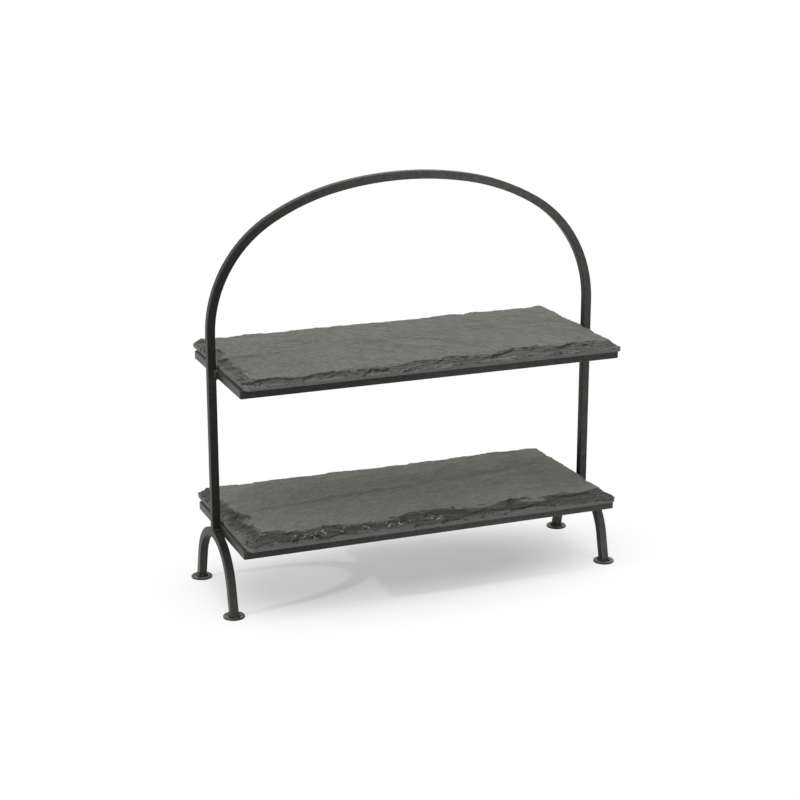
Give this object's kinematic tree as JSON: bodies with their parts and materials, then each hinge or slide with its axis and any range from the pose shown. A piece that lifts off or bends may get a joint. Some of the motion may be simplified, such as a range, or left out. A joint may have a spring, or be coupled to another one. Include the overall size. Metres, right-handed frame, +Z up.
{
  "type": "tiered cake stand",
  "caption": "Two-tier serving stand: riven slate shelves with knapped edges lie loose on welded square-bar frames held between the uprights of an arched bar handle on bent legs.",
  "frame": {"origin": "on the floor, under the middle of the whole object's box", "axes": "+X along the stand to the right, +Y from front to rear, +Z up"},
  "size_m": [0.5245, 0.219, 0.514],
  "materials": {
    "bar_steel": "satin black over square bar",
    "rail_steel": "satin black over square bar",
    "foot_steel": "mottled black, worn brown on top",
    "weld_steel": "rippled weld beads under satin black",
    "slate": "riven grey slate, matt, darker where chipped"
  },
  "bodies": {
    "stand": {"handle_arch": "bar_steel", "left_leg": "bar_steel", "right_leg": "bar_steel", "upper_front_rail": "rail_steel", "upper_rear_rail": "rail_steel", "upper_left_rail": "rail_steel", "upper_right_rail": "rail_steel", "lower_front_rail": "rail_steel", "lower_rear_rail": "rail_steel", "lower_left_rail": "rail_steel", "lower_right_rail": "rail_steel", "left_front_foot": "foot_steel", "left_rear_foot": "foot_steel", "right_front_foot": "foot_steel", "right_rear_foot": "foot_steel", "left_crown_weld": "weld_steel", "right_crown_weld": "weld_steel", "upper_left_weld": "weld_steel", "upper_right_weld": "weld_steel", "lower_left_weld": "weld_steel", "lower_right_weld": "weld_steel", "left_front_foot_weld": "weld_steel", "left_rear_foot_weld": "weld_steel", "right_front_foot_weld": "weld_steel", "right_rear_foot_weld": "weld_steel"},
    "upper_slate": {"upper_slate": "slate"},
    "lower_slate": {"lower_slate": "slate"}
  },
  "joints": [
    {"name": "upper_slate_lift", "type": "slide", "parent": "stand", "child": "upper_slate", "axis": [0, -0.9781, 0.2079], "range_m": [0, 0.24]},
    {"name": "lower_slate_lift", "type": "slide", "parent": "stand", "child": "lower_slate", "axis": [0, -0.9781, 0.2079], "range_m": [0, 0.24]}
  ]
}
